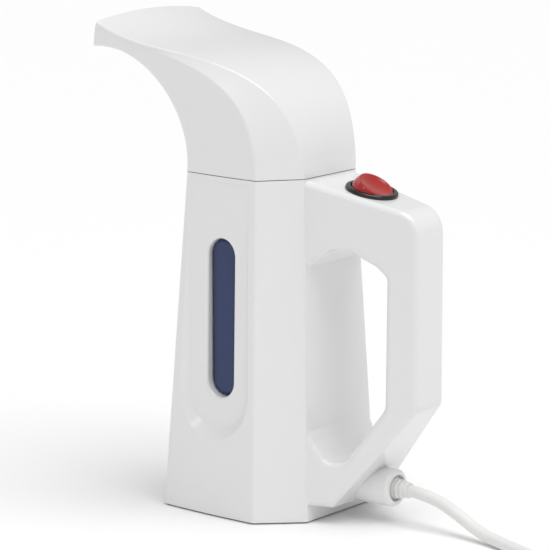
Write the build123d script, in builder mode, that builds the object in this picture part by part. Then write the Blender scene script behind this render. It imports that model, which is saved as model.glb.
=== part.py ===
from build123d import *
import math
import os

os.makedirs("parts", exist_ok=True)

# A hand-held garment steamer. Nozzle towards -X, handle towards +X, +Z up, millimetres.
# The origin is the centre of the flat base.

# ---------------------------------------------------------------- body
seam_height = 180.0                 # from the base to the joint under the head
base_front = 48.0                   # reach of the bulged front at the base
base_front_corner = (-36.0, 46.0)   # creases of the body, x and half width, at the base
base_side_corner = (26.9, 49.9)
base_rear_corner = (48.0, 30.6)
top_front = 35.4                    # the same outline at the seam
top_front_corner = (-25.4, 38.4)
top_side_corner = (23.5, 42.5)
top_rear_corner = (39.7, 22.6)
side_bow = 0.8                      # how far each side stands out of a straight line
wall = 2.5                          # thickness of the moulded walls
front_crease = 5.0                  # radii of the creases
side_crease = 2.5
rear_crease = 2.5
base_reveal = 0.9                   # height of the base cover that shows

# ---------------------------------------------------------------- handle
handle_reach = 104.2                # from the origin to the back of the grip
grip_half_width = 12.4
grip_depth = 18.5                   # from the back of the grip to the fingers
grip_low = 64.5                     # where the grip turns in to the heel
grip_edge = 3.5                     # radius along the edges of the grip
switch_x = 66.3                     # the switch sits on the top arm here
arm_height = 173.6                  # height of the top arm at the switch
arm_slope = math.radians(11.9)
arm_depth = 29.0
arm_corner = 14.0
heel_clearance = 9.0                # from the table to the underside of the heel
heel_height = 24.0                  # thickness of the heel
heel_slope = math.radians(51)      # of the heel's outer face, and of the finger side
finger_slope = math.radians(55)
boss_radius = 10.0                  # cable boss at the end of the heel
boss_height = 18.5
boss_setback = 20.2                 # from the back of the grip to the end of the boss
boss_end = handle_reach - boss_setback

# ---------------------------------------------------------------- window
window_x = 0.1
window_low, window_high = 63.3, 147.5
window_half_width = 9.2
window_rim = 1.6                    # radius of the rim
rim_margin = 0.5                    # how near the rim's edges lie to where they should
window_depth = 3.6                  # from the scoop to the lens
window_frame = 3.0                  # width of the frame moulded round the slot
window_frame_depth = 6.1
lens_gap = 0.1
lens_flange = 2.0
lens_flange_thickness = 1.6
window_seal_thickness = 0.6
lens_edge = 2.2                     # radius round the lens's face
scoop_x = -2.0
scoop_radius = 20.5                 # of the flat floor of the scoop
scoop_centre_height = 67.0
scoop_slope = 58.0                  # degrees the scoop's wall leans out
scoop_turn = 0.07                   # how fast the scoop's floor widens towards the handle
scoop_low_half_width = 43.6         # the scoop's floor, at two heights
scoop_low_height = 42.0
scoop_high_half_width = 41.0
scoop_high_height = 175.0

# ---------------------------------------------------------------- head
seam_gap = 0.4
head_rise = 75.2                    # from the seam to the upper lip of the nozzle
nozzle_drop = 13.4                  # height of the nozzle's mouth
nozzle_reach = 83.0                 # from the origin to the nozzle's mouth
nozzle_half_width = 43.8
nozzle_crown = 3.5                  # how far the top bows up across the nozzle
nozzle_bow = 1.0
shoulder_share = 0.75               # where the shoulder crease lies, from front to rear
head_stations = 10
head_wall = 2.5
nozzle_recess = 2.0
duct_radius = 4.6
duct_wall = 1.2
manifold_start, manifold_end = 0.76, 0.97
manifold_wall = 1.5
head_base_thickness = 3.0
spigot_wall = 3.0
nozzle_plate_thickness = 2.5
steam_hole_radius = 1.5
steam_hole_pitch = 8.0
steam_hole_count = 9

# ---------------------------------------------------------------- neck and tank
neck_x = 2.0                        # axis about which the head turns
neck_radius = 24.0
neck_wall = 3.0
ring_thickness = 4.4
key_depth = 2.0
key_width = 4.0
running_clearance = 0.1
tank_half_width = 33.0
tank_floor = 44.0
tank_rim = 168.0
tank_wall = 2.0
tank_clearance = 1.0
tank_rear = 31.7                    # leaves room behind the tank for the leads
collar_thickness = 3.0
neck_floor_depth = 3.0              # how far the washer under the ring hangs below the collar
seal_thickness = 1.5

# ---------------------------------------------------------------- boiler
boiler_radius = 22.0
boiler_wall = 3.0
boiler_depth = 20.0
boiler_flange = 6.0
dome_height = 9.0
riser_radius = 4.4
riser_wall = 1.2
riser_top = 174.0
thermostat_radius = 8.0
thermostat_depth = 8.0
fuse_radius = 2.2
fuse_length = 13.0
boiler_screw_count = 4
element_radius = 12.0
element_rod = 3.0

# ---------------------------------------------------------------- switch
bezel_radius = 14.0
bezel_height = 2.0
bezel_body_radius = 13.2
rocker_radius = 11.2                # the rocker is part of a ball centred on its pin
rocker_tilt = math.radians(20.65)
rocker_rim_distance = 5.71          # from the pin to the rocker's rim
rocker_pin_depth = 1.0              # the pin's depth under the arm's surface
rocker_clearance = 0.3
rocker_sole = 3.0                   # the rocker's underside, below the arm's surface
rocker_dish = 26.0                  # radius of the hollow worn in the rocker's top
rocker_rim = 1.0
bezel_body_depth = 12.0
terminal_length = 8.0
pin_radius = 1.5
well_depth = 9.5

# ---------------------------------------------------------------- fastenings
screw_radius = 1.5
screw_head_radius = 2.7
screw_head_height = 2.0
post_radius = 3.4
head_post_radius = 4.2
screw_sink = 4.0                    # how deep the screw heads sit in the housing
shank_reach = 8.0                   # how far a housing screw runs past the parting plane
base_thickness = 3.0
base_gap = 0.2

# ---------------------------------------------------------------- mains lead
cord_diameter = 6.4
relief_length = 24.0
relief_radius = 5.5
relief_end_radius = 4.0
relief_reach = 8.0                  # how far the strain relief stands out of the boss
relief_end = boss_end + relief_reach
coil_distance = 150.0               # from the end of the relief to the middle of the coil
coil_centre = (relief_end + coil_distance, 0.0)
coil_inner_radius = 22.4
coil_outer_radius = 48.0
coil_height = 12.8
tie_width = 9.0
tie_thickness = 0.8
plug_length = 34.0
plug_width = 26.0
plug_thickness = 15.0
blade_length = 17.5                 # standard two-blade plug
blade_width = 6.35
blade_thickness = 1.5
blade_spacing = 12.7


def between(low, high, share):
    """A point that share of the way from low to high."""
    return tuple(a + (b - a) * share for a, b in zip(low, high))


def outline(front, corners, crown=0.0, creases=None):
    """A closed outline, the same on both sides of Y = 0, through three corners a side."""
    (x1, y1), (x2, y2), (x3, y3) = corners
    bow = min(side_bow, (x2 - x1) / 30)
    middle = ((x1 + x2) / 2, (y1 + y2) / 2 + bow)
    with BuildSketch() as closed:
        with BuildLine():
            ThreePointArc((x1, -y1), (front, 0), (x1, y1))
            ThreePointArc((x1, y1), middle, (x2, y2))
            Line((x2, y2), (x3, y3))
            if crown:
                ThreePointArc((x3, y3), (x3 + crown, 0), (x3, -y3))
            else:
                Line((x3, y3), (x3, -y3))
            Line((x3, -y3), (x2, -y2))
            ThreePointArc((x2, -y2), (middle[0], -middle[1]), (x1, -y1))
        make_face()
        if creases:
            for (x, y), radius in zip(corners, creases):
                for side in (y, -y):
                    here = closed.vertices().sort_by_distance((x, side))[0]
                    fillet(here, radius)
    return closed.sketch


def body_section(level, inset=0.0):
    """The body's outline at a height, or the outline that lies inset inside it."""
    share = level / seam_height
    front = -base_front - (top_front - base_front) * share + inset
    first = between(base_front_corner, top_front_corner, share)
    second = between(base_side_corner, top_side_corner, share)
    third = between(base_rear_corner, top_rear_corner, share)
    if not inset:
        return outline(front, (first, second, third), creases=(front_crease, side_crease, rear_crease))
    corners = (
        (first[0] + inset, first[1] - inset),
        (second[0] - inset, second[1] - inset),
        (third[0] - inset, third[1] - inset),
    )
    return outline(front, corners)


def rear_face(level):
    """Where the body's flat rear lies at a height."""
    return base_rear_corner[0] + (top_rear_corner[0] - base_rear_corner[0]) * level / seam_height


def body_loft(low, high, inset=0.0):
    """A straight-sided loft between the body's outlines at two heights."""
    with BuildPart() as lofted:
        for level in (low, high):
            with BuildSketch(Plane.XY.offset(level)):
                add(body_section(level, inset))
        loft(ruled=True)
    return lofted.part


# The handle's sides run from the body's rear creases to the back of the grip.
def handle_loft(inset=0.0):
    """The wedge between the handle's two sides, drawn in by inset."""
    with BuildPart() as lofted:
        for level, corner in ((0.0, base_rear_corner), (seam_height, top_rear_corner)):
            reach = handle_reach + wall
            lean = (grip_half_width - corner[1]) / (handle_reach - corner[0])
            start = corner[0] - 3 * wall
            with BuildSketch(Plane.XY.offset(level)):
                half_start = corner[1] + lean * (start - corner[0]) - 0.3 - inset
                half_end = corner[1] + lean * (reach - corner[0]) - 0.3 - inset
                Polygon((start, -half_start), (reach, -half_end), (reach, half_end), (start, half_start), align=None)
        loft(ruled=True)
    return lofted.part


def arm_top(x):
    return arm_height - math.tan(arm_slope) * (x - switch_x)


grip_inner = handle_reach - grip_depth
heel_run = (grip_low - heel_clearance) / math.tan(heel_slope)
hole_floor = heel_clearance + heel_height
hole_turn = grip_low - 1.0          # where the finger hole's back edge turns in
hole_foot = grip_inner - (hole_turn - hole_floor) / math.tan(finger_slope)
hole_top = arm_top(switch_x) - arm_depth


def handle_profile():
    """The handle's outer profile, drawn on X and Z, running into the body on the left."""
    with BuildSketch(Plane.XZ) as profile:
        inside = top_rear_corner[0] - 2 * wall
        with BuildLine():
            Polyline(
                (inside, arm_top(inside)),
                (handle_reach, arm_top(handle_reach)),
                (handle_reach, grip_low),
                (handle_reach - heel_run, heel_clearance),
                (base_rear_corner[0] - 1, heel_clearance),
                (base_rear_corner[0] - 6, heel_clearance - 6),
                (inside, heel_clearance - 6),
                close=True,
            )
        make_face()
        fillet(profile.vertices().sort_by_distance((handle_reach, arm_top(handle_reach)))[0], arm_corner)
        fillet(profile.vertices().sort_by_distance((handle_reach, grip_low))[0], 8)
    return profile.sketch


def hole_profile(inset=0.0):
    """The finger hole, drawn on X and Z. Its left edge lies inside the body's rear face."""
    low_left = rear_face(hole_floor) - 4
    high_left = rear_face(hole_top) - 4
    with BuildSketch(Plane.XZ) as profile:
        with BuildLine():
            Polyline(
                (low_left, hole_floor + 22),
                (rear_face(hole_floor) + 2, hole_floor + 10),
                (rear_face(hole_floor) + 9, hole_floor),
                (hole_foot, hole_floor),
                (grip_inner, hole_turn),
                (grip_inner, hole_top - 12),
                (grip_inner - 6, hole_top - 7),
                (switch_x - 2, hole_top),
                (rear_face(hole_top) + 12, hole_top),
                (high_left, hole_top - 14),
                close=True,
            )
        make_face()
        for place, radius in (
            ((rear_face(hole_floor) + 2, hole_floor + 10), 8),
            ((rear_face(hole_floor) + 9, hole_floor), 7),
            ((hole_foot, hole_floor), 7),
            ((grip_inner, hole_turn), 9),
            ((grip_inner, hole_top - 12), 5),
            ((grip_inner - 6, hole_top - 7), 5),
            ((switch_x - 2, hole_top), 9),
            ((rear_face(hole_top) + 12, hole_top), 9),
        ):
            fillet(profile.vertices().sort_by_distance(place)[0], radius)
        if inset:
            offset(amount=inset)
    return profile.sketch


# ---------------------------------------------------------------- housing
scoop_lean = (scoop_low_half_width - scoop_high_half_width) / (scoop_high_height - scoop_low_height)


def scoop_plane(inset=0.0):
    """The plane of the scoop's floor on the -Y side. It leans and turns with the body's side."""
    floor = scoop_low_half_width + scoop_lean * scoop_low_height - scoop_turn * scoop_x - inset
    return Plane(origin=(0, -floor, 0), x_dir=(1, -scoop_turn, 0), z_dir=(-scoop_turn, -1, scoop_lean))


def floor_distance(point, side):
    """How far a point stands out of the scoop's floor, on the side 1 for -Y or -1 for +Y."""
    return scoop_plane().to_local_coords(Vector(point.X, point.Y * side, point.Z)).Z


def scoop(inset=0.0):
    """The U-shaped hollow round one window, open at the top, on the -Y side."""
    plane = scoop_plane(inset)
    radius = scoop_radius + inset
    length = seam_height - scoop_centre_height - wall
    with BuildPart() as hollow:
        with BuildSketch(plane):
            with Locations((scoop_x, scoop_centre_height + length / 2)):
                Rectangle(2 * radius, length)
            with Locations((scoop_x, scoop_centre_height)):
                Circle(radius)
        extrude(amount=12, taper=-scoop_slope)
    return hollow.part


def slot(half_width, start, end):
    """A slot-shaped prism with the window's outline, between two distances out on the -Y side."""
    straight = window_high - window_low - 2 * window_half_width
    with BuildPart() as prism:
        with BuildSketch(Plane.XZ.offset(start)):
            with Locations((window_x, (window_low + window_high) / 2)):
                SlotCenterToCenter(straight, 2 * half_width, rotation=90)
        extrude(amount=end - start)
    return prism.part


window_middle = (window_low + window_high) / 2
scoop_floor = between(
    (scoop_low_half_width,),
    (scoop_high_half_width,),
    (window_middle - scoop_low_height) / (scoop_high_height - scoop_low_height),
)[0]                                # half width of the scoop's floor at the window's middle
lens_face = scoop_floor - window_depth
frame_back = scoop_floor - window_frame_depth
lens_back = frame_back - window_seal_thickness - lens_flange_thickness


def across(x, z, radius, start, end):
    """A round bar along Y between two distances from the parting plane."""
    with BuildPart() as bar:
        with BuildSketch(Plane((x, start, z), x_dir=(1, 0, 0), z_dir=(0, 1, 0))):
            Circle(radius)
        extrude(amount=end - start)
    return bar.part


def upright(x, y, radius, low, high):
    """A round bar along Z between two heights."""
    with BuildPart() as bar:
        with BuildSketch(Plane((x, y, low))):
            Circle(radius)
        extrude(amount=high - low)
    return bar.part


arm_plane = Plane(
    origin=(switch_x, 0, arm_height),
    x_dir=(math.cos(arm_slope), 0, -math.sin(arm_slope)),
    z_dir=(math.sin(arm_slope), 0, math.cos(arm_slope)),
)

# Each housing screw: its place on X and Z, and how far its posts run out to the walls.
screw_places = [
    (handle_reach - grip_depth / 2, (grip_low + hole_top) / 2, grip_half_width + 1.2),
    (grip_inner, arm_top(grip_inner) - arm_depth / 2, grip_half_width + 2.2),
    (rear_face(0) + 3, heel_clearance + heel_height / 2, base_rear_corner[1] - 4.6),
    (base_front_corner[0] + 7, 24.0, base_front_corner[1] - 2.0),
]
# The base screws stand in posts against the side walls, behind the front and side creases.
base_screw_places = [
    (base_front_corner[0] + 9, base_front_corner[1] - 5),
    (base_side_corner[0] - 5, base_side_corner[1] - 6.4),
]
base_post_top = 18.0

# The handle alone, with its edges rounded before it joins the body.
with BuildPart() as handle:
    add(handle_loft())
    with BuildSketch(Plane.XZ):
        add(handle_profile())
        add(hole_profile(), mode=Mode.SUBTRACT)
    extrude(amount=60, both=True, mode=Mode.INTERSECT)
    long_edges = [
        edge
        for edge in handle.edges()
        if abs(edge.center().Y) > 5 and edge.center().X > 46.5 and edge.center().Z > 6.5
    ]
    fillet(long_edges, grip_edge)

# The handle's hollow, which opens into the body through the top arm and the heel.
with BuildPart() as handle_hollow:
    add(handle_loft(wall))
    with BuildSketch(Plane.XZ):
        with BuildSketch(Plane.XZ, mode=Mode.PRIVATE) as inner_profile:
            add(handle_profile())
            offset(amount=-wall, kind=Kind.INTERSECTION)
        add(inner_profile.sketch_local)
        add(hole_profile(wall), mode=Mode.SUBTRACT)
    extrude(amount=60, both=True, mode=Mode.INTERSECT)

# The body's hollow goes round the back of the scoops and of the window frames.
with BuildPart() as body_hollow:
    add(body_loft(base_reveal - 1, seam_height + 1, wall))
    add(scoop(wall), mode=Mode.SUBTRACT)
    add(mirror(scoop(wall), about=Plane.XZ), mode=Mode.SUBTRACT)
    frame_solid = slot(window_half_width + window_frame, frame_back, scoop_floor + wall)
    add(frame_solid, mode=Mode.SUBTRACT)
    add(mirror(frame_solid, about=Plane.XZ), mode=Mode.SUBTRACT)

with BuildPart() as casing:
    add(body_loft(base_reveal, seam_height))
    add(handle.part)
    with BuildSketch(Plane.YZ.offset(handle_reach - heel_run)):
        with Locations((0, boss_height)):
            Circle(boss_radius)
    extrude(amount=boss_end - handle_reach + heel_run)
    fillet(casing.faces().sort_by_distance((boss_end, 0, boss_height))[0].edges(), 2.0)
    add(scoop(), mode=Mode.SUBTRACT)
    add(mirror(scoop(), about=Plane.XZ), mode=Mode.SUBTRACT)
    slot_hole = slot(window_half_width, frame_back - 1, scoop_floor + 12)
    add(body_hollow.part, mode=Mode.SUBTRACT)
    add(handle_hollow.part, mode=Mode.SUBTRACT)
    add(slot_hole, mode=Mode.SUBTRACT)
    add(mirror(slot_hole, about=Plane.XZ), mode=Mode.SUBTRACT)
    for side in (1, -1):
        near_floor = [
            edge
            for edge in casing.edges()
            if edge.center().Y * side < 0
            and abs(edge.center().X - window_x) < window_half_width + rim_margin
            and window_low - rim_margin < edge.center().Z < window_high + rim_margin
            and abs(floor_distance(edge.center(), side)) < rim_margin
        ]
        fillet(near_floor, window_rim)
    for x, z, reach in screw_places:
        add(across(x, z, post_radius, -reach, reach))
    for x, y in base_screw_places:
        for side in (y, -y):
            add(upright(x, side, post_radius, base_thickness, base_post_top))
    for x, z, reach in screw_places:
        add(across(x, z, screw_radius, -shank_reach, reach), mode=Mode.SUBTRACT)
        add(across(x, z, screw_head_radius + 0.2, reach - screw_sink, reach + 8), mode=Mode.SUBTRACT)
    for x, y in base_screw_places:
        for side in (y, -y):
            add(upright(x, side, screw_radius, -1, base_post_top - 4), mode=Mode.SUBTRACT)
    # The cable's bore, wider at its mouth
    with BuildSketch(Plane.YZ.offset(boss_end - relief_length - 2)):
        with Locations((0, boss_height)):
            Circle(relief_radius + lens_gap)
    extrude(amount=relief_length + 3, mode=Mode.SUBTRACT)
    with BuildSketch(Plane.YZ.offset(boss_end - 12 - lens_gap)):
        with Locations((0, boss_height)):
            Circle(relief_radius + 1.6 + lens_gap)
    extrude(amount=3 + 2 * lens_gap, mode=Mode.SUBTRACT)
    with BuildSketch(Plane.YZ.offset(boss_end - 3)):
        with Locations((0, boss_height)):
            Circle(relief_radius + 1.6)
    extrude(amount=4, mode=Mode.SUBTRACT)
    # The switch's hole through the top arm
    with BuildSketch(arm_plane):
        Circle(bezel_body_radius + lens_gap)
    extrude(amount=5, both=True, mode=Mode.SUBTRACT)

with BuildPart() as left_housing:
    add(casing.part)
    split(bisect_by=Plane.XZ, keep=Keep.TOP)
left_housing.part.label = "left_housing"
export_step(left_housing.part, "parts/left_housing.step")

with BuildPart() as right_housing:
    add(casing.part)
    split(bisect_by=Plane.XZ, keep=Keep.BOTTOM)
right_housing.part.label = "right_housing"
export_step(right_housing.part, "parts/right_housing.step")

with BuildPart() as housing_screws:
    for x, z, reach in screw_places:
        head_seat = reach - screw_sink
        add(across(x, z, screw_radius - 0.05, -shank_reach + 1, head_seat))
        add(across(x, z, screw_head_radius, head_seat, head_seat + screw_head_height))
        add(across(x, z, 1.0, head_seat + 1, head_seat + screw_head_height + 1), mode=Mode.SUBTRACT)
housing_screws.part.label = "housing_screws"
export_step(housing_screws.part, "parts/housing_screws.step")

# ---------------------------------------------------------------- base cover
with BuildPart() as base_cover:
    for low, high, inset in ((0.0, base_reveal, 1.4), (base_reveal, base_thickness, wall + base_gap)):
        for level in (low, high):
            with BuildSketch(Plane.XY.offset(level)):
                add(body_section(level, inset))
        loft(ruled=True)
    for x, y in base_screw_places:
        for side in (y, -y):
            add(upright(x, side, screw_radius, -1, base_thickness + 1), mode=Mode.SUBTRACT)
            add(upright(x, side, screw_head_radius + 0.2, -1, base_thickness - 1), mode=Mode.SUBTRACT)
base_cover.part.label = "base_cover"
export_step(base_cover.part, "parts/base_cover.step")

with BuildPart() as base_screws:
    for x, y in base_screw_places:
        for side in (y, -y):
            seat = base_thickness - 1
            add(upright(x, side, screw_radius - 0.05, seat, base_post_top - 5))
            add(upright(x, side, screw_head_radius, seat - screw_head_height + 0.5, seat))
base_screws.part.label = "base_screws"
export_step(base_screws.part, "parts/base_screws.step")

# ---------------------------------------------------------------- windows
with BuildPart() as lens:
    add(slot(window_half_width - lens_gap, lens_back, lens_face))
    fillet(lens.faces().sort_by(Axis.Y)[0].edges(), lens_edge)
    add(slot(window_half_width + lens_flange, lens_back, lens_back + lens_flange_thickness))

with BuildPart() as left_window:
    add(lens.part)
left_window.part.label = "left_window"
export_step(left_window.part, "parts/left_window.step")

with BuildPart() as right_window:
    add(lens.part)
    mirror(about=Plane.XZ, mode=Mode.REPLACE)
right_window.part.label = "right_window"
export_step(right_window.part, "parts/right_window.step")

with BuildPart() as window_ring:
    add(slot(window_half_width + lens_flange, frame_back - window_seal_thickness, frame_back))
    add(slot(window_half_width, frame_back - 1, frame_back + 1), mode=Mode.SUBTRACT)

with BuildPart() as left_window_seal:
    add(window_ring.part)
left_window_seal.part.label = "left_window_seal"
export_step(left_window_seal.part, "parts/left_window_seal.step")

with BuildPart() as right_window_seal:
    add(window_ring.part)
    mirror(about=Plane.XZ, mode=Mode.REPLACE)
right_window_seal.part.label = "right_window_seal"
export_step(right_window_seal.part, "parts/right_window_seal.step")

# ---------------------------------------------------------------- water tank
def tank_section(level, inset):
    """The tank's outline at a height: the body's, cut flat at the sides and the rear."""
    with BuildSketch() as section:
        add(body_section(level, wall + tank_clearance + inset))
        with Locations((tank_rear - inset, 0)):
            Rectangle(200, 2 * (tank_half_width - inset), align=(Align.MAX, Align.CENTER), mode=Mode.INTERSECT)
    return section.sketch


def tank_loft(low, high, inset):
    with BuildPart() as lofted:
        for level in (low, high):
            with BuildSketch(Plane.XY.offset(level)):
                add(tank_section(level, inset))
        loft(ruled=True)
    return lofted.part


screw_circle = boiler_radius + boiler_flange / 2
boiler_top = tank_floor - seal_thickness
boiler_bottom = boiler_top - boiler_depth
tank_hole = boiler_radius - boiler_wall


def boiler_screw_holes(radius, low, high):
    """Bars on the circle of the boiler's screws."""
    with BuildPart() as bars:
        with BuildSketch(Plane((neck_x, 0, low))):
            with PolarLocations(screw_circle, boiler_screw_count, start_angle=45):
                Circle(radius)
        extrude(amount=high - low)
    return bars.part


with BuildPart() as water_tank:
    add(tank_loft(tank_floor, tank_rim, 0.0))
    add(tank_loft(tank_floor + tank_wall, tank_rim + 1, tank_wall), mode=Mode.SUBTRACT)
    add(upright(neck_x, 0, tank_hole, tank_floor - 1, tank_floor + tank_wall + 1), mode=Mode.SUBTRACT)
    add(boiler_screw_holes(screw_radius, tank_floor - 1, tank_floor + tank_wall - 0.5), mode=Mode.SUBTRACT)
water_tank.part.label = "water_tank"
export_step(water_tank.part, "parts/water_tank.step")

with BuildPart() as tank_seal:
    add(tank_loft(tank_rim, tank_rim + seal_thickness, 0.0))
    add(tank_loft(tank_rim - 1, tank_rim + seal_thickness + 1, tank_wall), mode=Mode.SUBTRACT)
tank_seal.part.label = "tank_seal"
export_step(tank_seal.part, "parts/tank_seal.step")

# ---------------------------------------------------------------- boiler
with BuildPart() as boiler_cup:
    add(upright(neck_x, 0, boiler_radius, boiler_bottom, boiler_top))
    add(upright(neck_x, 0, boiler_radius + boiler_flange, boiler_top - boiler_wall, boiler_top))
    add(upright(neck_x, 0, tank_hole, boiler_bottom + boiler_wall, boiler_top + 1), mode=Mode.SUBTRACT)
    add(boiler_screw_holes(screw_radius, boiler_top - boiler_wall - 1, boiler_top + 1), mode=Mode.SUBTRACT)
    for side in (1, -1):
        leg = (neck_x + element_radius * math.cos(math.radians(30)), side * element_radius / 2)
        add(upright(*leg, element_rod, boiler_bottom - 1, boiler_bottom + 4), mode=Mode.SUBTRACT)
boiler_cup.part.label = "boiler_cup"
export_step(boiler_cup.part, "parts/boiler_cup.step")

with BuildPart() as boiler_seal:
    add(upright(neck_x, 0, boiler_radius + boiler_flange, boiler_top, tank_floor))
    add(upright(neck_x, 0, tank_hole, boiler_top - 1, tank_floor + 1), mode=Mode.SUBTRACT)
    add(boiler_screw_holes(screw_radius, boiler_top - 1, tank_floor + 1), mode=Mode.SUBTRACT)
boiler_seal.part.label = "boiler_seal"
export_step(boiler_seal.part, "parts/boiler_seal.step")

with BuildPart() as boiler_screws:
    screw_seat = boiler_top - boiler_wall
    add(boiler_screw_holes(screw_radius - 0.05, screw_seat, tank_floor + tank_wall - 0.6))
    add(boiler_screw_holes(screw_head_radius, screw_seat - screw_head_height, screw_seat))
boiler_screws.part.label = "boiler_screws"
export_step(boiler_screws.part, "parts/boiler_screws.step")

# A bent rod lying over the boiler's floor, its two legs going down through it
element_height = boiler_bottom + boiler_wall + element_rod + 1.5
leg_angle = math.radians(30)
element_start = Plane(
    origin=(neck_x, 0, 0),
    x_dir=(math.cos(leg_angle), math.sin(leg_angle), 0),
    z_dir=(math.sin(leg_angle), -math.cos(leg_angle), 0),
)
with BuildPart() as heating_element:
    with BuildSketch(element_start):
        with Locations((element_radius, element_height)):
            Circle(element_rod - 0.05)
    revolve(axis=Axis((neck_x, 0, 0), (0, 0, 1)), revolution_arc=360 - 2 * math.degrees(leg_angle))
    for side in (1, -1):
        leg = (neck_x + element_radius * math.cos(leg_angle), side * element_radius * math.sin(leg_angle))
        add(upright(*leg, element_rod - 0.05, boiler_bottom - 6, element_height))
heating_element.part.label = "heating_element"
export_step(heating_element.part, "parts/heating_element.step")

# The dome gathers the steam, and the riser carries it above the water
dome_base = tank_floor + tank_wall
with BuildPart() as riser_pipe:
    add(upright(neck_x, 0, tank_hole + 1, dome_base, dome_base + dome_height))
    fillet(riser_pipe.faces().sort_by(Axis.Z)[-1].edges(), 3.0)
    add(upright(neck_x, 0, tank_hole + 1 - riser_wall, dome_base - 1, dome_base + dome_height - riser_wall),
        mode=Mode.SUBTRACT)
    add(upright(neck_x, 0, riser_radius, dome_base + dome_height - riser_wall, riser_top))
    add(upright(neck_x, 0, riser_radius - riser_wall, dome_base, riser_top + 1), mode=Mode.SUBTRACT)
    for side in (1, -1):
        add(across(neck_x, dome_base + 1, 2.5, side * tank_hole - 5, side * tank_hole + 5), mode=Mode.SUBTRACT)
riser_pipe.part.label = "riser_pipe"
export_step(riser_pipe.part, "parts/riser_pipe.step")

with BuildPart() as thermostat:
    place = (neck_x - thermostat_radius - 1, 0)
    add(upright(*place, thermostat_radius, boiler_bottom - thermostat_depth, boiler_bottom))
    with BuildSketch(Plane.XY.offset(boiler_bottom - thermostat_depth)):
        with Locations(place):
            with GridLocations(0, 8, 1, 2):
                Rectangle(5, 0.8)
    extrude(amount=-5)
thermostat.part.label = "thermostat"
export_step(thermostat.part, "parts/thermostat.step")

with BuildPart() as thermal_fuse:
    fuse_height = boiler_bottom - fuse_radius
    fuse_x = neck_x + fuse_radius + 0.8
    add(across(fuse_x, fuse_height, fuse_radius, -fuse_length / 2, fuse_length / 2))
    add(across(fuse_x, fuse_height, 0.5, -fuse_length / 2 - 5, fuse_length / 2 + 5))
thermal_fuse.part.label = "thermal_fuse"
export_step(thermal_fuse.part, "parts/thermal_fuse.step")

# ---------------------------------------------------------------- neck
collar_low = tank_rim + seal_thickness
collar_high = collar_low + collar_thickness
collar_top = seam_height - 2.4
ring_low = collar_low + 0.5
ring_high = collar_top - 0.2
ring_inner = neck_radius - running_clearance - ring_thickness
neck_lip = ring_inner - key_depth - 1
neck_floor_top = ring_low - running_clearance

with BuildPart() as neck_collar:
    for level in (collar_low, collar_high):
        with BuildSketch(Plane.XY.offset(level)):
            add(tank_section(level, 0.0))
    loft(ruled=True)
    add(upright(neck_x, 0, neck_radius + neck_wall, collar_low, collar_top))
    add(upright(neck_x, 0, neck_radius, collar_low - 1, collar_top + 1), mode=Mode.SUBTRACT)
    add(upright(neck_x, 0, neck_radius + neck_wall, collar_low - 1, neck_floor_top), mode=Mode.SUBTRACT)
neck_collar.part.label = "neck_collar"
export_step(neck_collar.part, "parts/neck_collar.step")

# The washer under the ring is its own piece, welded into the collar.
with BuildPart() as neck_floor:
    add(upright(neck_x, 0, neck_radius + neck_wall, collar_low - neck_floor_depth, neck_floor_top))
    add(upright(neck_x, 0, neck_lip, collar_low - neck_floor_depth - 1, collar_top), mode=Mode.SUBTRACT)
neck_floor.part.label = "neck_floor"
export_step(neck_floor.part, "parts/neck_floor.step")

with BuildPart() as neck_retainer:
    add(upright(neck_x, 0, neck_radius + neck_wall, collar_top, collar_top + 1.2))
    add(upright(neck_x, 0, ring_inner + 0.4, collar_top - 1, collar_top + 2), mode=Mode.SUBTRACT)
neck_retainer.part.label = "neck_retainer"
export_step(neck_retainer.part, "parts/neck_retainer.step")


def keys(width, inner, outer, low, high):
    """Three radial bars about the neck's axis."""
    with BuildPart() as bars:
        with BuildSketch(Plane((neck_x, 0, low))):
            with PolarLocations((inner + outer) / 2, 3):
                Rectangle(outer - inner, width)
        extrude(amount=high - low)
    return bars.part


with BuildPart() as neck_ring:
    add(upright(neck_x, 0, neck_radius - running_clearance, ring_low, ring_high))
    add(upright(neck_x, 0, ring_inner, ring_low - 1, ring_high + 1), mode=Mode.SUBTRACT)
    add(keys(key_width, ring_inner - key_depth, ring_inner + 1, ring_low, ring_high))
neck_ring.part.label = "neck_ring"
export_step(neck_ring.part, "parts/neck_ring.step")

# ---------------------------------------------------------------- head
head_low = seam_height + seam_gap
lip = head_low + head_rise
with BuildLine() as upper_crease:
    Spline(
        (top_rear_corner[0], top_rear_corner[1], head_low),
        (36.5, 24.5, head_low + 0.275 * head_rise),
        (25.7, 29.0, head_low + 0.535 * head_rise),
        (1.8, 36.0, head_low + 0.735 * head_rise),
        (-29.8, 42.0, head_low + 0.832 * head_rise),
        (-nozzle_reach + 1, nozzle_half_width, lip),
    )
with BuildLine() as lower_crease:
    Spline(
        (top_front_corner[0], top_front_corner[1], head_low),
        (-27.1, 39.8, head_low + 0.27 * head_rise),
        (-34.2, 41.2, head_low + 0.48 * head_rise),
        (-48.9, 42.6, head_low + 0.69 * head_rise),
        (-nozzle_reach - 0.8, nozzle_half_width, lip - nozzle_drop),
    )


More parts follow.
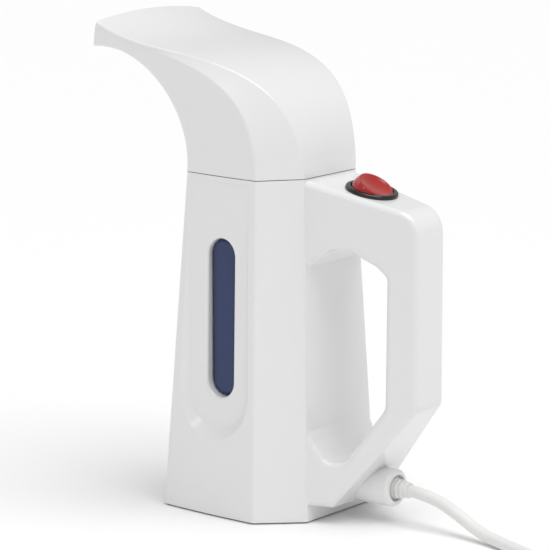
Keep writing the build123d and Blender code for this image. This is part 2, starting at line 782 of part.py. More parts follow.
def head_section(share, inset=0.0):
    """The head's outline some share of the way from the neck to the nozzle, on its own plane."""
    low, high = lower_crease.line @ share, upper_crease.line @ share
    across_head = Vector(high.X - low.X, 0, high.Z - low.Z)
    depth = across_head.length
    plane = Plane((low.X, 0, low.Z), x_dir=across_head.normalized(), z_dir=across_head.cross(Vector(0, 1, 0)))
    side = top_side_corner[1] + (nozzle_half_width + 0.4 - top_side_corner[1]) * share
    bulge = (top_front - abs(top_front_corner[0])) * (1 - share) ** 2 + nozzle_bow
    crown = nozzle_crown * share + 0.01
    corners = ((inset, low.Y - inset), (shoulder_share * depth - inset, side - inset), (depth - inset, high.Y - inset))
    creases = None
    if not inset:
        creases = (
            front_crease + (1.5 - front_crease) * share,
            side_crease + (1.2 - side_crease) * share,
            rear_crease + (1.5 - rear_crease) * share,
        )
    return plane, outline(inset - bulge, corners, crown, creases)


def head_loft(start, end, stations, inset=0.0):
    """A smooth loft through the head's outlines between two shares of its length."""
    with BuildPart() as lofted:
        for number in range(stations):
            plane, section = head_section(start + (end - start) * number / (stations - 1), inset)
            with BuildSketch(plane):
                add(section)
        loft()
    return lofted.part


# Posts inside the head take the screws that hold its base
head_posts = [
    (top_front_corner[0] + 10, top_front_corner[1] - 4.6),
    (top_front_corner[0] + 10, 4.6 - top_front_corner[1]),
    (top_rear_corner[0] - 6.7, 0.0),
]
head_post_top = head_low + 14

with BuildPart() as head_shell:
    add(head_loft(0, 1, head_stations))
    add(head_loft(0, 1, head_stations, head_wall), mode=Mode.SUBTRACT)
    for x, y in head_posts:
        add(upright(x, y, head_post_radius, head_low + head_base_thickness, head_post_top))
        add(upright(x, y, screw_radius, head_low, head_post_top - 2), mode=Mode.SUBTRACT)
head_shell.part.label = "head_shell"
export_step(head_shell.part, "parts/head_shell.step")

# The nozzle's face, set back into the mouth, with its row of steam holes
plate_start = 1 - (nozzle_recess + nozzle_plate_thickness) / nozzle_reach
plate_end = 1 - nozzle_recess / nozzle_reach
plate_plane = head_section((plate_start + plate_end) / 2)[0]
with BuildPart() as nozzle_plate:
    add(head_loft(0, 1, head_stations, head_wall + lens_gap))
    with BuildSketch(plate_plane):
        Rectangle(200, 200)
    extrude(amount=nozzle_plate_thickness / 2, both=True, mode=Mode.INTERSECT)
    with BuildSketch(plate_plane):
        with Locations((nozzle_drop / 2 + 0.4, 0)):
            with GridLocations(1, steam_hole_pitch, 1, steam_hole_count):
                Circle(steam_hole_radius)
    extrude(amount=6, both=True, mode=Mode.SUBTRACT)
nozzle_plate.part.label = "nozzle_plate"
export_step(nozzle_plate.part, "parts/nozzle_plate.step")

spigot_radius = ring_inner - running_clearance
with BuildPart() as head_base:
    add(head_loft(0, 0.12, 3, head_wall + lens_gap))
    with BuildSketch(Plane.XY.offset(head_low)):
        Rectangle(300, 300)
    extrude(amount=head_base_thickness, mode=Mode.INTERSECT)
    add(upright(neck_x, 0, duct_radius, head_low - 1, head_low + head_base_thickness + 1), mode=Mode.SUBTRACT)
    with BuildSketch(Plane((neck_x, 0, head_low))):
        with PolarLocations(duct_radius + 5, 4, start_angle=45):
            Circle(1.5)
    extrude(amount=head_base_thickness + 1, mode=Mode.SUBTRACT)
    for x, y in head_posts:
        add(upright(x, y, screw_radius, head_low - 1, head_low + head_base_thickness + 1), mode=Mode.SUBTRACT)
        add(upright(x, y, screw_head_radius + 0.2, head_low - 1, head_low + screw_head_height), mode=Mode.SUBTRACT)
head_base.part.label = "head_base"
export_step(head_base.part, "parts/head_base.step")

# The spigot is a tube welded under the head's base. Its slots take the ring's keys.
with BuildPart() as head_spigot:
    add(upright(neck_x, 0, spigot_radius, ring_low + 0.6, head_low))
    add(upright(neck_x, 0, spigot_radius - spigot_wall, ring_low, head_low + 1), mode=Mode.SUBTRACT)
    slot_foot = ring_inner - key_depth - 2 * running_clearance
    key_slots = keys(key_width + 4 * running_clearance, slot_foot, ring_inner + 1, ring_low, ring_high + 0.6)
    add(key_slots, mode=Mode.SUBTRACT)
head_spigot.part.label = "head_spigot"
export_step(head_spigot.part, "parts/head_spigot.step")

with BuildPart() as head_screws:
    for x, y in head_posts:
        head_seat = head_low + screw_head_height
        add(upright(x, y, screw_radius - 0.05, head_seat, head_post_top - 3))
        add(upright(x, y, screw_head_radius, head_seat - screw_head_height + 0.3, head_seat))
head_screws.part.label = "head_screws"
export_step(head_screws.part, "parts/head_screws.step")

with BuildPart() as head_seal:
    add(upright(neck_x, 0, neck_radius + 2, head_low - 1.2, head_low))
    add(upright(neck_x, 0, spigot_radius, head_low - 2, head_low + 1), mode=Mode.SUBTRACT)
head_seal.part.label = "head_seal"
export_step(head_seal.part, "parts/head_seal.step")


def middle_of_head(share):
    """The middle of the head's outline some share of the way to the nozzle, on X and Z."""
    low, high = lower_crease.line @ share, upper_crease.line @ share
    return (low.X + high.X) / 2, (low.Z + high.Z) / 2


with BuildLine(Plane.XZ) as duct_path:
    FilletPolyline(
        (neck_x, riser_top + 1),
        (neck_x, head_low + 0.42 * head_rise),
        middle_of_head(0.62),
        middle_of_head(manifold_start + 0.01),
        radius=16,
    )


def duct(radius):
    with BuildPart() as tube:
        with BuildSketch(Plane((neck_x, 0, riser_top + 1))):
            Circle(radius)
        sweep(path=duct_path.line)
    return tube.part


with BuildPart() as steam_duct:
    add(duct(duct_radius))
    add(duct(duct_radius - duct_wall), mode=Mode.SUBTRACT)
steam_duct.part.label = "steam_duct"
export_step(steam_duct.part, "parts/steam_duct.step")

with BuildPart() as steam_manifold:
    add(head_loft(manifold_start, plate_start, 3, head_wall + 0.3))
    add(head_loft(manifold_start + 0.02, plate_start, 3, head_wall + 0.3 + manifold_wall), mode=Mode.SUBTRACT)
    add(duct(duct_radius), mode=Mode.SUBTRACT)
steam_manifold.part.label = "steam_manifold"
export_step(steam_manifold.part, "parts/steam_manifold.step")

# ---------------------------------------------------------------- switch
with BuildPart() as switch_bezel:
    with BuildSketch(arm_plane):
        Circle(bezel_radius)
    extrude(amount=bezel_height)
    fillet(switch_bezel.edges().sort_by(Axis(arm_plane.origin, arm_plane.z_dir))[-1], 1.2)
    with BuildSketch(arm_plane):
        Circle(bezel_body_radius)
    extrude(amount=-bezel_body_depth)
    with BuildSketch(arm_plane.offset(bezel_height)):
        Circle(rocker_radius + rocker_clearance)
    extrude(amount=-well_depth - bezel_height, mode=Mode.SUBTRACT)
    rocker_pin = arm_plane.offset(-rocker_pin_depth)
    pin_x, pin_z = rocker_pin.origin.X, rocker_pin.origin.Z
    add(across(pin_x, pin_z, pin_radius + running_clearance, -bezel_body_radius - 1, bezel_body_radius + 1),
        mode=Mode.SUBTRACT)
switch_bezel.part.label = "switch_bezel"
export_step(switch_bezel.part, "parts/switch_bezel.step")

# The rocker is a slice of a ball about its pin, so it stays clear of its well as it tips
tilt = rocker_tilt + arm_slope
rocker_up = Vector(math.sin(tilt), 0, math.cos(tilt))
rim_plane = Plane(rocker_pin.origin + rocker_up * rocker_rim_distance, z_dir=rocker_up)
rim_radius = math.sqrt(rocker_radius ** 2 - rocker_rim_distance ** 2) - rocker_rim
dish_centre = rim_plane.origin + rocker_up * math.sqrt(rocker_dish ** 2 - rim_radius ** 2)
with BuildPart() as switch_rocker:
    with Locations(rocker_pin.origin):
        Sphere(rocker_radius)
    split(bisect_by=rim_plane, keep=Keep.BOTTOM)
    split(bisect_by=arm_plane.offset(-rocker_sole), keep=Keep.TOP)
    with Locations(dish_centre):
        Sphere(rocker_dish, mode=Mode.SUBTRACT)
    add(across(pin_x, pin_z, pin_radius, 1 - bezel_body_radius, bezel_body_radius - 1))
switch_rocker.part.label = "switch_rocker"
export_step(switch_rocker.part, "parts/switch_rocker.step")

with BuildPart() as switch_terminals:
    with BuildSketch(arm_plane.offset(-bezel_body_depth)):
        with GridLocations(6, 1, 3, 1):
            Rectangle(0.8, 5)
    extrude(amount=-terminal_length)
switch_terminals.part.label = "switch_terminals"
export_step(switch_terminals.part, "parts/switch_terminals.step")

# ---------------------------------------------------------------- leads inside
lead_radius = 1.0
lead_spread = 1.7                   # each lead's distance from the middle plane
terminal_z = arm_top(switch_x) - bezel_body_depth - terminal_length


def pair_of_leads(points, radius):
    """Two leads side by side, bent round the same points on X and Z."""
    with BuildPart() as leads:
        for side in (lead_spread, -lead_spread):
            plane = Plane((0, side, 0), x_dir=(1, 0, 0), z_dir=(0, -1, 0))
            with BuildLine(plane) as path:
                FilletPolyline(*points, radius=radius)
            with BuildSketch(Plane(path.line @ 0, z_dir=path.line % 0)):
                Circle(lead_radius)
            sweep(path=path.line)
    return leads.part


finger_side = grip_inner + wall + 1.7
supply_start = boss_end - relief_length + 4
with BuildPart() as supply_leads:
    add(pair_of_leads([
        (supply_start, boss_height),
        (supply_start - 5, boss_height),
        (supply_start - 5, boss_height + 6),
        (hole_foot + 7, hole_floor + 0.5),
        (finger_side, hole_turn - 2),
        (finger_side, hole_top + 3),
        (switch_x + 10, hole_top + 5.5),
        (switch_x + 4, hole_top + 5.5),
    ], 2.2))
supply_leads.part.label = "supply_leads"
export_step(supply_leads.part, "parts/supply_leads.step")

lead_drop = tank_rear + 3.2
with BuildPart() as element_leads:
    add(pair_of_leads([
        (switch_x - 9, hole_top + 6.5),
        (switch_x - 15, hole_top + 8),
        (lead_drop, hole_top + 8),
        (lead_drop, boiler_bottom - 8),
        (neck_x + element_radius + 6, boiler_bottom - 8),
    ], 2.2))
element_leads.part.label = "element_leads"
export_step(element_leads.part, "parts/element_leads.step")

# ---------------------------------------------------------------- mains lead
with BuildPart() as cord_gland:
    with BuildSketch(Plane.XZ):
        with BuildLine():
            Polyline(
                (boss_end - relief_length + 6, boss_height),
                (boss_end - relief_length + 6, boss_height + relief_radius),
                (boss_end - 12, boss_height + relief_radius),
                (boss_end - 12, boss_height + relief_radius + 1.6),
                (boss_end - 9, boss_height + relief_radius + 1.6),
                (boss_end - 9, boss_height + relief_radius),
                (boss_end - 1, boss_height + relief_radius),
                (relief_end, boss_height + relief_end_radius),
                (relief_end, boss_height),
                close=True,
            )
        make_face()
    revolve(axis=Axis((0, 0, boss_height), (1, 0, 0)))
    for rib in range(3):
        with BuildSketch(Plane.YZ.offset(boss_end + 0.5 + 2.6 * rib)):
            with Locations((0, boss_height)):
                Circle(relief_radius + 1)
                Circle(relief_end_radius + 0.2 - 0.1 * rib, mode=Mode.SUBTRACT)
        extrude(amount=1.0, mode=Mode.SUBTRACT)
    with BuildSketch(Plane.YZ.offset(boss_end - relief_length)):
        with Locations((0, boss_height)):
            Circle(cord_diameter / 2)
    extrude(amount=relief_length + 20, mode=Mode.SUBTRACT)
cord_gland.part.label = "cord_gland"
export_step(cord_gland.part, "parts/cord_gland.step")

with BuildPart() as lead_sheath:
    with BuildSketch(Plane.YZ.offset(supply_start)):
        with Locations((0, boss_height)):
            Circle(cord_diameter / 2)
    extrude(amount=relief_end - supply_start)
lead_sheath.part.label = "lead_sheath"
export_step(lead_sheath.part, "parts/lead_sheath.step")

cord_floor = cord_diameter / 2


def from_relief(route):
    """A route whose X is measured from the end of the strain relief, in the part's own frame."""
    return [(relief_end + along, across_it, height) for along, across_it, height in route]


cord_route = [
    (0.0, 0.0, boss_height),
    (14.0, -0.5, 17.6),
    (30.0, -2.0, 12.2),
    (46.0, -5.0, 5.4),
    (62.0, -9.3, cord_floor),
    (80.0, -16.5, cord_floor),
    (100.0, -26.5, cord_floor),
    (121.0, -35.5, cord_floor),
    (139.0, -41.5, cord_floor),
    (154.0, -44.6, cord_floor),
]
tail_route = [
    (175.7, -36.7, 9.6),
    (188.0, -23.7, 11.0),
    (194.0, -6.2, 14.0),
    (192.0, 11.3, 17.6),
    (180.5, 26.0, 20.0),
    (164.0, 34.5, 20.3),
    (144.0, 36.0, 20.3),
]
cord_route = from_relief(cord_route)
tail_route = from_relief(tail_route)


def cord_tube(route):
    """A tube along straight runs joined by arcs as large as the runs allow."""
    points = [Vector(*point) for point in route]
    runs = [after - before for before, after in zip(points, points[1:])]
    radii = []
    for before, after in zip(runs, runs[1:]):
        half_turn = math.radians(before.get_angle(after)) / 2
        radii.append(0.45 * min(before.length, after.length) / math.tan(half_turn))
    print("cord arcs", [round(radius) for radius in radii])
    with BuildPart() as tube:
        with BuildLine():
            spine = FilletPolyline(*points, radius=radii)
        with BuildSketch(Plane(spine @ 0, z_dir=spine % 0)):
            Circle(cord_diameter / 2)
        sweep(path=spine)
    full_volume = math.pi * (cord_diameter / 2) ** 2 * spine.length
    print("cord length", round(spine.length, 1), "volume share", round(tube.part.volume / full_volume, 4))
    return tube.part


with BuildPart() as power_cord:
    add(cord_tube(cord_route))
power_cord.part.label = "power_cord"
export_step(power_cord.part, "parts/power_cord.step")

with BuildPart() as cord_tail:
    add(cord_tube(tail_route))
cord_tail.part.label = "cord_tail"
export_step(cord_tail.part, "parts/cord_tail.step")

with BuildPart() as cord_coil:
    with BuildSketch(Plane((*coil_centre, 0))):
        Circle(coil_outer_radius)
        Circle(coil_inner_radius, mode=Mode.SUBTRACT)
    extrude(amount=coil_height)
    fillet(cord_coil.edges().group_by(Axis.Z)[-1], cord_diameter / 2 - 0.2)
cord_coil.part.label = "cord_coil"
export_step(cord_coil.part, "parts/cord_coil.step")

with BuildPart() as cord_tie:
    ring_middle = (coil_inner_radius + coil_outer_radius) / 2
    band = coil_outer_radius - coil_inner_radius
    with BuildSketch(Plane.XZ.offset(-coil_centre[1])):
        with Locations((coil_centre[0] - ring_middle, coil_height / 2 + tie_thickness / 2)):
            Rectangle(band + 2 * tie_thickness, coil_height + tie_thickness)
        with Locations((coil_centre[0] - ring_middle, coil_height / 2 + tie_thickness / 2)):
            Rectangle(band, coil_height - tie_thickness, mode=Mode.SUBTRACT)
    extrude(amount=tie_width / 2, both=True)
cord_tie.part.label = "cord_tie"
export_step(cord_tie.part, "parts/cord_tie.step")

plug_axis = (Vector(*tail_route[-1]) - Vector(*tail_route[-2])).normalized()
plug_start = Plane(tail_route[-1], x_dir=Vector(0, 0, 1).cross(plug_axis), z_dir=plug_axis)
with BuildPart() as plug_body:
    for distance, share in ((0, 0.42), (10, 0.5), (17, 1.0), (plug_length, 0.94)):
        with BuildSketch(plug_start.offset(distance)):
            RectangleRounded(plug_width * share, plug_thickness * max(share, 0.62), 3.4)
    loft(ruled=True)
plug_body.part.label = "plug_body"
export_step(plug_body.part, "parts/plug_body.step")

with BuildPart() as plug_blades:
    with BuildSketch(plug_start.offset(plug_length)):
        with GridLocations(blade_spacing, 1, 2, 1):
            Rectangle(blade_thickness, blade_width)
    extrude(amount=blade_length)
plug_blades.part.label = "plug_blades"
export_step(plug_blades.part, "parts/plug_blades.step")
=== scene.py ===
import math

import bpy
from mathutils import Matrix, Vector


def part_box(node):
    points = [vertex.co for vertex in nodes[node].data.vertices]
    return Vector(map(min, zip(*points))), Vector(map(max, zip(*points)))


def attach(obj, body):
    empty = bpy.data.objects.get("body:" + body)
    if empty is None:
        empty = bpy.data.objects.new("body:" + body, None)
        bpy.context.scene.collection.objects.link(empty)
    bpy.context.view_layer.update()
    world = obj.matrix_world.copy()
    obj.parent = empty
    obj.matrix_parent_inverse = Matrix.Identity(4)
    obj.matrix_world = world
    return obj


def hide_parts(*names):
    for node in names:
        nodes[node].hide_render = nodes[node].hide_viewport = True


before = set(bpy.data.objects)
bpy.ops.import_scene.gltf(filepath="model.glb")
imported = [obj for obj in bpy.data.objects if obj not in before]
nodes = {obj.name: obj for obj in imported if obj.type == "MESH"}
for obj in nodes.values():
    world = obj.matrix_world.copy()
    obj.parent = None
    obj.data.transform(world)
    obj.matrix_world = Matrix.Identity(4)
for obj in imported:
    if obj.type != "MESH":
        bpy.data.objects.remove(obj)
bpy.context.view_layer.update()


# ---------------------------------------------------------------- camera
# A long lens, a little above the steamer and to the right of its side, looks at the middle of the body.
view_azimuth = math.radians(37.48)      # from -Y towards +X
view_elevation = math.radians(10.92)
view_distance = 1.695
view_target = Vector((0.00346, 0.0, 0.12243))
view_offset = Vector((
    math.sin(view_azimuth) * math.cos(view_elevation),
    -math.cos(view_azimuth) * math.cos(view_elevation),
    math.sin(view_elevation),
)) * view_distance
camera_data = bpy.data.cameras.new("camera")
camera_data.sensor_width = 36.0
camera_data.lens = 209.0
camera = bpy.data.objects.new("camera", camera_data)
camera.location = view_target + view_offset
camera.rotation_euler = (-view_offset).to_track_quat("-Z", "Y").to_euler()
bpy.context.scene.collection.objects.link(camera)
bpy.context.scene.camera = camera


# ---------------------------------------------------------------- mains lead
# A round two-core lead of 6.4 mm in soft white vinyl, extruded over its cores, 1.8 m long.
# It leaves the gland level, falls to the table and runs to the part that is wound up and tied.
def linear(code):
    """A colour socket's value for an sRGB hex code."""
    shares = [int(code[i:i + 2], 16) / 255 for i in (1, 3, 5)]
    return [v / 12.92 if v <= 0.04045 else ((v + 0.055) / 1.055) ** 2.4 for v in shares] + [1.0]


def add_node(tree, kind, values=None, links=None, **settings):
    """Adds a node. Settings are its own fields, values fill its sockets and links feed them."""
    made = tree.nodes.new(kind)
    for field, value in settings.items():
        setattr(made, field, value)
    for socket, value in (values or {}).items():
        made.inputs[socket].default_value = value
    for socket, source in (links or {}).items():
        tree.links.new(source, made.inputs[socket])
    return made


def finish_of(name, light, dark, patch_mm, grain_mm, bump_mm, smooth, rough, shader):
    """A finish whose colour and gloss vary in patches, over a grain that stands bump_mm high.

    shader holds the values that are the same all over the surface, by socket.
    """
    finish = bpy.data.materials.new(name)
    finish.use_nodes = True
    tree = finish.node_tree
    tree.nodes.clear()
    place = add_node(tree, "ShaderNodeTexCoord").outputs["Object"]
    patches = add_node(
        tree, "ShaderNodeTexNoise",
        {"Scale": 1000 / patch_mm, "Detail": 3.0, "Roughness": 0.55}, {"Vector": place},
    )
    grain = add_node(
        tree, "ShaderNodeTexNoise",
        {"Scale": 1000 / grain_mm, "Detail": 2.0, "Roughness": 0.6}, {"Vector": place},
    )
    colour = add_node(
        tree, "ShaderNodeMix", {6: linear(light), 7: linear(dark)},
        {0: patches.outputs["Fac"]}, data_type="RGBA",
    )
    gloss = add_node(
        tree, "ShaderNodeMapRange",
        {"From Min": 0.3, "From Max": 0.7, "To Min": smooth, "To Max": rough},
        {"Value": patches.outputs["Fac"]},
    )
    bump = add_node(
        tree, "ShaderNodeBump", {"Strength": 0.6, "Distance": bump_mm / 1000},
        {"Height": grain.outputs["Fac"]},
    )
    surface = add_node(
        tree, "ShaderNodeBsdfPrincipled", shader,
        {
            "Base Color": colour.outputs[2],
            "Roughness": gloss.outputs["Result"],
            "Normal": bump.outputs["Normal"],
        },
    )
    add_node(tree, "ShaderNodeOutputMaterial", links={"Surface": surface.outputs["BSDF"]})
    return finish


def coat(finish, *names):
    """Gives CAD nodes a finish."""
    for name in names:
        nodes[name].data.materials.clear()
        nodes[name].data.materials.append(finish)


# Plasticised vinyl is softer and less glossy than the housing, with a faint flow grain.
white_vinyl = finish_of(
    "white_extruded_vinyl", "#F1F1EF", "#E6E6E3", 14, 0.7, 0.02, 0.34, 0.46,
    {"IOR": 1.53, "Specular IOR Level": 0.45},
)
cord_radius = 0.0032
cord_rise = 2 * cord_radius             # from one row of turns to the next
run_points = [
    (0.092, 0.0, 0.0185), (0.106, -0.0005, 0.0176), (0.122, -0.002, 0.0122),
    (0.138, -0.005, 0.0054), (0.154, -0.0093, 0.0032), (0.172, -0.0165, 0.0032),
    (0.192, -0.0265, 0.0032), (0.213, -0.0355, 0.0032), (0.231, -0.0415, 0.0032),
    (0.246, -0.0446, 0.0032),
]
tail_points = [
    (0.2677, -0.0367, 0.0096), (0.280, -0.0237, 0.011), (0.286, -0.0062, 0.014),
    (0.284, 0.0113, 0.0176), (0.2725, 0.026, 0.020), (0.256, 0.0345, 0.0203),
    (0.236, 0.036, 0.0203),
]
coil_x = 0.242
coil_outer = 0.0448
coil_first_angle = math.radians(-85)
coil_turns = 7 + 30 / 360
points_per_turn = 16
inward_step = (0.83, 1.0)               # the part of a turn in which it moves a row inwards
outward_step = (0.35, 0.55)             # the same for a row outwards, in the upper layer
climb = (3.6, 3.83)                     # the turns between which it rises to the upper layer


def eased(value, start, end):
    """0 before start, 1 after end and a smooth rise between."""
    share = min(1.0, max(0.0, (value - start) / (end - start)))
    return share * share * (3 - 2 * share)


def coil_point(turn):
    """Four turns inwards on the table, then three outwards on top of them."""
    inward = sum(eased(turn, k + inward_step[0], k + inward_step[1]) for k in range(3))
    outward = sum(eased(turn, k + outward_step[0], k + outward_step[1]) for k in (4, 5, 6))
    radius = coil_outer - cord_rise * (inward - outward)
    angle = coil_first_angle + 2 * math.pi * turn
    height = cord_radius + cord_rise * eased(turn, *climb)
    return (coil_x + radius * math.cos(angle), radius * math.sin(angle), height)


coil_steps = int(coil_turns * points_per_turn)
coil_points = [coil_point(step / points_per_turn) for step in range(1, coil_steps)]
lead_curve = bpy.data.curves.new("mains_lead", "CURVE")
lead_curve.dimensions = "3D"
lead_curve.bevel_depth = cord_radius
lead_curve.bevel_resolution = 4
lead_curve.resolution_u = 5
lead_curve.use_fill_caps = True
lead_line = lead_curve.splines.new("NURBS")
lead_route = run_points + coil_points + tail_points
lead_line.points.add(len(lead_route) - 1)
for point, place in zip(lead_line.points, lead_route):
    point.co = (*place, 1.0)
lead_line.order_u = 3
lead_line.use_endpoint_u = True
lead_curve.materials.append(white_vinyl)
mains_lead = bpy.data.objects.new("mains_lead", lead_curve)
bpy.context.scene.collection.objects.link(mains_lead)
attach(mains_lead, "housing")
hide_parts("power_cord", "cord_coil", "cord_tail")


# ---------------------------------------------------------------- plug, tie and gland
# The plug is vinyl moulded over two flat nickel-plated brass blades. The strap round the coil is
# woven hook-and-loop tape, and the gland where the lead leaves the boss is the same vinyl as the lead.
plug_vinyl = finish_of(
    "white_moulded_vinyl", "#F0F0EE", "#E4E4E1", 20, 1.0, 0.03, 0.38, 0.5,
    {"IOR": 1.53, "Specular IOR Level": 0.45},
)
plated_brass = finish_of(
    "nickel_plated_brass", "#D8D2C4", "#C2BAA8", 6, 0.5, 0.01, 0.18, 0.3, {"Metallic": 1.0},
)
woven_strap = finish_of(
    "woven_nylon_strap", "#DCDCDA", "#BDBDBA", 1.6, 0.8, 0.25, 0.8, 0.95,
    {"IOR": 1.53, "Sheen Weight": 0.3},
)
coat(plug_vinyl, "plug_body", "cord_gland", "lead_sheath")
coat(plated_brass, "plug_blades", "switch_terminals")
coat(woven_strap, "cord_tie")


# ---------------------------------------------------------------- housing
# Two glossy white ABS shells, injection moulded in a polished tool and screwed together from the
# right. The tool's polish leaves long soft reflections with a very faint waviness.
white_abs = finish_of(
    "glossy_white_abs", "#EFEFF0", "#EAEAEB", 60, 5.0, 0.012, 0.13, 0.19,
    {"IOR": 1.54, "Coat Weight": 0.15, "Coat Roughness": 0.06},
)
coat(white_abs, "left_housing", "right_housing", "head_shell", "neck_retainer")


# ---------------------------------------------------------------- base
# A grey polypropylene plate closes the body from below. Its spark-eroded tool gives a fine matt grain.
grey_polypropylene = finish_of(
    "spark_textured_grey_polypropylene", "#7A7C7E", "#6C6E70", 10, 0.6, 0.06, 0.5, 0.65,
    {"IOR": 1.49},
)
coat(grey_polypropylene, "base_cover")

# Zinc-plated pan-head screws hold the base, the two shells, the boiler and the head. The thermal fuse's
# case has the same finish.
zinc_plate = finish_of(
    "zinc_plated_steel", "#B9BCC0", "#9EA2A8", 3, 0.4, 0.01, 0.25, 0.4, {"Metallic": 1.0},
)
coat(zinc_plate, "base_screws", "housing_screws", "boiler_screws", "head_screws", "thermal_fuse")


# ---------------------------------------------------------------- windows
# Each water window is a clear blue polished lens clipped in behind a slot, with a silicone gasket. Its dark
# navy colour is painted shade for the dark space behind it, and more painted shade darkens it towards both
# rims across its width.
lens_low, lens_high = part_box("left_window")
lens_middle = (lens_low.x + lens_high.x) / 2
lens_half_width = (lens_high.x - lens_low.x) / 2
# Painted shade: across its width the lens darkens from its middle to near-black navy at both rims, for the
# shading of a rounded face.
rim_shade_start, rim_shade_end = 0.35, 0.8           # shares of the half width over which it darkens to the rim
blue_lens = finish_of(
    "polished_clear_blue_acrylic", "#20386C", "#1A3060", 40, 8.0, 0.006, 0.04, 0.08,
    {"IOR": 1.49, "Transmission Weight": 0.12},
)
lens_tree = blue_lens.node_tree
lens_surface = next(n for n in lens_tree.nodes if n.type == "BSDF_PRINCIPLED")
lens_tint = lens_surface.inputs["Base Color"].links[0].from_socket
lens_place = next(n for n in lens_tree.nodes if n.type == "TEX_COORD").outputs["Object"]
lens_axes = add_node(lens_tree, "ShaderNodeSeparateXYZ", links={"Vector": lens_place})
lens_side = add_node(
    lens_tree, "ShaderNodeMath", {1: lens_middle}, {0: lens_axes.outputs["X"]}, operation="SUBTRACT",
)
lens_distance = add_node(lens_tree, "ShaderNodeMath", links={0: lens_side.outputs[0]}, operation="ABSOLUTE")
lens_rim_shade_mask = add_node(
    lens_tree, "ShaderNodeMapRange",
    {
        "From Min": rim_shade_start * lens_half_width,
        "From Max": rim_shade_end * lens_half_width,
        "To Min": 0.0,
        "To Max": 1.0,
    },
    {"Value": lens_distance.outputs[0]}, interpolation_type="SMOOTHSTEP",
)
# Mixes the lens tint towards the painted near-black rim shade.
lens_colour_with_rim_shade = add_node(
    lens_tree, "ShaderNodeMix", {7: linear("#0A1230")},
    {0: lens_rim_shade_mask.outputs["Result"], 6: lens_tint}, data_type="RGBA",
)
lens_tree.links.new(lens_colour_with_rim_shade.outputs[2], lens_surface.inputs["Base Color"])
silicone = finish_of(
    "moulded_silicone", "#C8C8C2", "#B9B9B2", 12, 0.9, 0.02, 0.5, 0.65, {"IOR": 1.41},
)
coat(blue_lens, "left_window", "right_window")
coat(silicone, "left_window_seal", "right_window_seal", "tank_seal", "boiler_seal", "head_seal")


# ---------------------------------------------------------------- tank and neck
# The tank is blown from translucent polypropylene, and its welded collar and floor hold the acetal
# ring that the head turns in.
tank_polypropylene = finish_of(
    "translucent_polypropylene", "#DCE6EE", "#CCD8E2", 25, 1.5, 0.03, 0.3, 0.42,
    {"IOR": 1.49, "Transmission Weight": 0.5},
)
acetal = finish_of(
    "natural_acetal", "#E8E8E4", "#DADAD4", 18, 1.0, 0.015, 0.3, 0.4, {"IOR": 1.48},
)
coat(tank_polypropylene, "water_tank", "neck_collar", "neck_floor")
coat(acetal, "neck_ring")


# ---------------------------------------------------------------- boiler
# A die-cast aluminium cup with a steel-sheathed element pressed under it, a phenolic thermostat and
# heat-resistant risers. The casting keeps the dull grain of its tool.
cast_aluminium = finish_of(
    "die_cast_aluminium", "#B4B5B7", "#96989B", 8, 0.8, 0.08, 0.4, 0.6, {"Metallic": 1.0},
)
element_steel = finish_of(
    "heat_tinted_stainless_tube", "#7E7468", "#5C5550", 5, 0.5, 0.01, 0.3, 0.45, {"Metallic": 1.0},
)
phenolic = finish_of(
    "phenolic_moulding", "#2A2420", "#1E1916", 7, 0.6, 0.02, 0.35, 0.5, {"IOR": 1.6},
)
heat_plastic = finish_of(
    "heat_resistant_polyamide", "#E2DCD0", "#D2CBBD", 15, 0.8, 0.02, 0.38, 0.5, {"IOR": 1.53},
)
lead_silicone = finish_of(
    "silicone_sleeve", "#E8E8E4", "#D6D6D0", 6, 0.5, 0.01, 0.5, 0.62, {"IOR": 1.41},
)
coat(cast_aluminium, "boiler_cup")
coat(element_steel, "heating_element")
coat(phenolic, "thermostat")
coat(heat_plastic, "riser_pipe", "head_base", "head_spigot", "steam_duct", "steam_manifold")
coat(lead_silicone, "supply_leads", "element_leads")


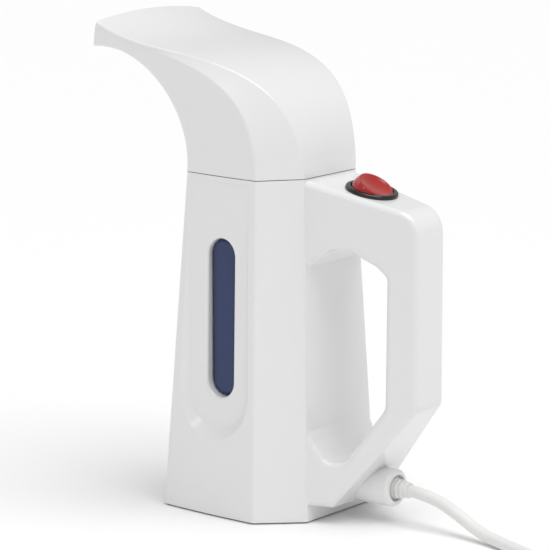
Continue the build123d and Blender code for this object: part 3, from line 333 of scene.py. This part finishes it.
# ---------------------------------------------------------------- switch
# A round rocker switch snapped into the arm: a glossy black nylon bezel and a dished rocker of
# translucent red polycarbonate.
black_nylon = finish_of(
    "glossy_black_nylon", "#101011", "#18181A", 10, 1.2, 0.01, 0.12, 0.22, {"IOR": 1.53},
)
red_polycarbonate = finish_of(
    "translucent_red_polycarbonate", "#B81812", "#9E110D", 9, 1.5, 0.006, 0.1, 0.18,
    {"IOR": 1.58, "Subsurface Weight": 0.15, "Subsurface Radius": (0.004, 0.001, 0.001),
     "Coat Weight": 0.25, "Coat Roughness": 0.05},
)
coat(black_nylon, "switch_bezel")
coat(red_polycarbonate, "switch_rocker")


# ---------------------------------------------------------------- nozzle
# The steam plate in the nozzle's mouth is a heat-resistant moulding with one row of holes.
nozzle_plastic = finish_of(
    "matt_heat_resistant_moulding", "#DADADA", "#CCCCCC", 12, 0.7, 0.03, 0.4, 0.55, {"IOR": 1.53},
)
coat(nozzle_plastic, "nozzle_plate")


# ---------------------------------------------------------------- floor and light
# A plain pale floor in a white studio. A very soft high light leans to the handle's side, and two
# small soft boxes draw the highlights along the creases.
floor_reach = 8.0
floor_data = bpy.data.meshes.new("floor")
floor_corners = ((-1, -1), (1, -1), (1, 1), (-1, 1))
floor_data.from_pydata(
    [(x * floor_reach, y * floor_reach, 0.0) for x, y in floor_corners], [], [(0, 1, 2, 3)],
)
floor = bpy.data.objects.new("floor", floor_data)
bpy.context.scene.collection.objects.link(floor)
floor_data.materials.append(finish_of(
    "pale_painted_floor", "#FDFDFD", "#FAFAFA", 400, 3, 0.01, 0.7, 0.8, {"Specular IOR Level": 0.1},
))

world = bpy.data.worlds.new("studio")
world.use_nodes = True
world.node_tree.nodes["Background"].inputs["Color"].default_value = linear("#FFFFFF")
world.node_tree.nodes["Background"].inputs["Strength"].default_value = 0.5
bpy.context.scene.world = world
bpy.context.scene.view_settings.view_transform = "Standard"


def add_light(name, kind, place, power, **settings):
    """A light at a place, aimed at the middle of the steamer."""
    lamp_data = bpy.data.lights.new(name, kind)
    lamp_data.energy = power
    for field, value in settings.items():
        setattr(lamp_data, field, value)
    lamp = bpy.data.objects.new(name, lamp_data)
    lamp.location = place
    lamp.rotation_euler = (view_target - Vector(place)).to_track_quat("-Z", "Y").to_euler()
    bpy.context.scene.collection.objects.link(lamp)


add_light("high_light", "SUN", (0.62, -0.05, 2.3), 1.75, angle=math.radians(50))
add_light("crease_box", "AREA", (-0.4, -1.9, 1.5), 0.7, size=0.3)
add_light("handle_box", "AREA", (1.7, -0.4, 1.4), 1.0, size=0.35)
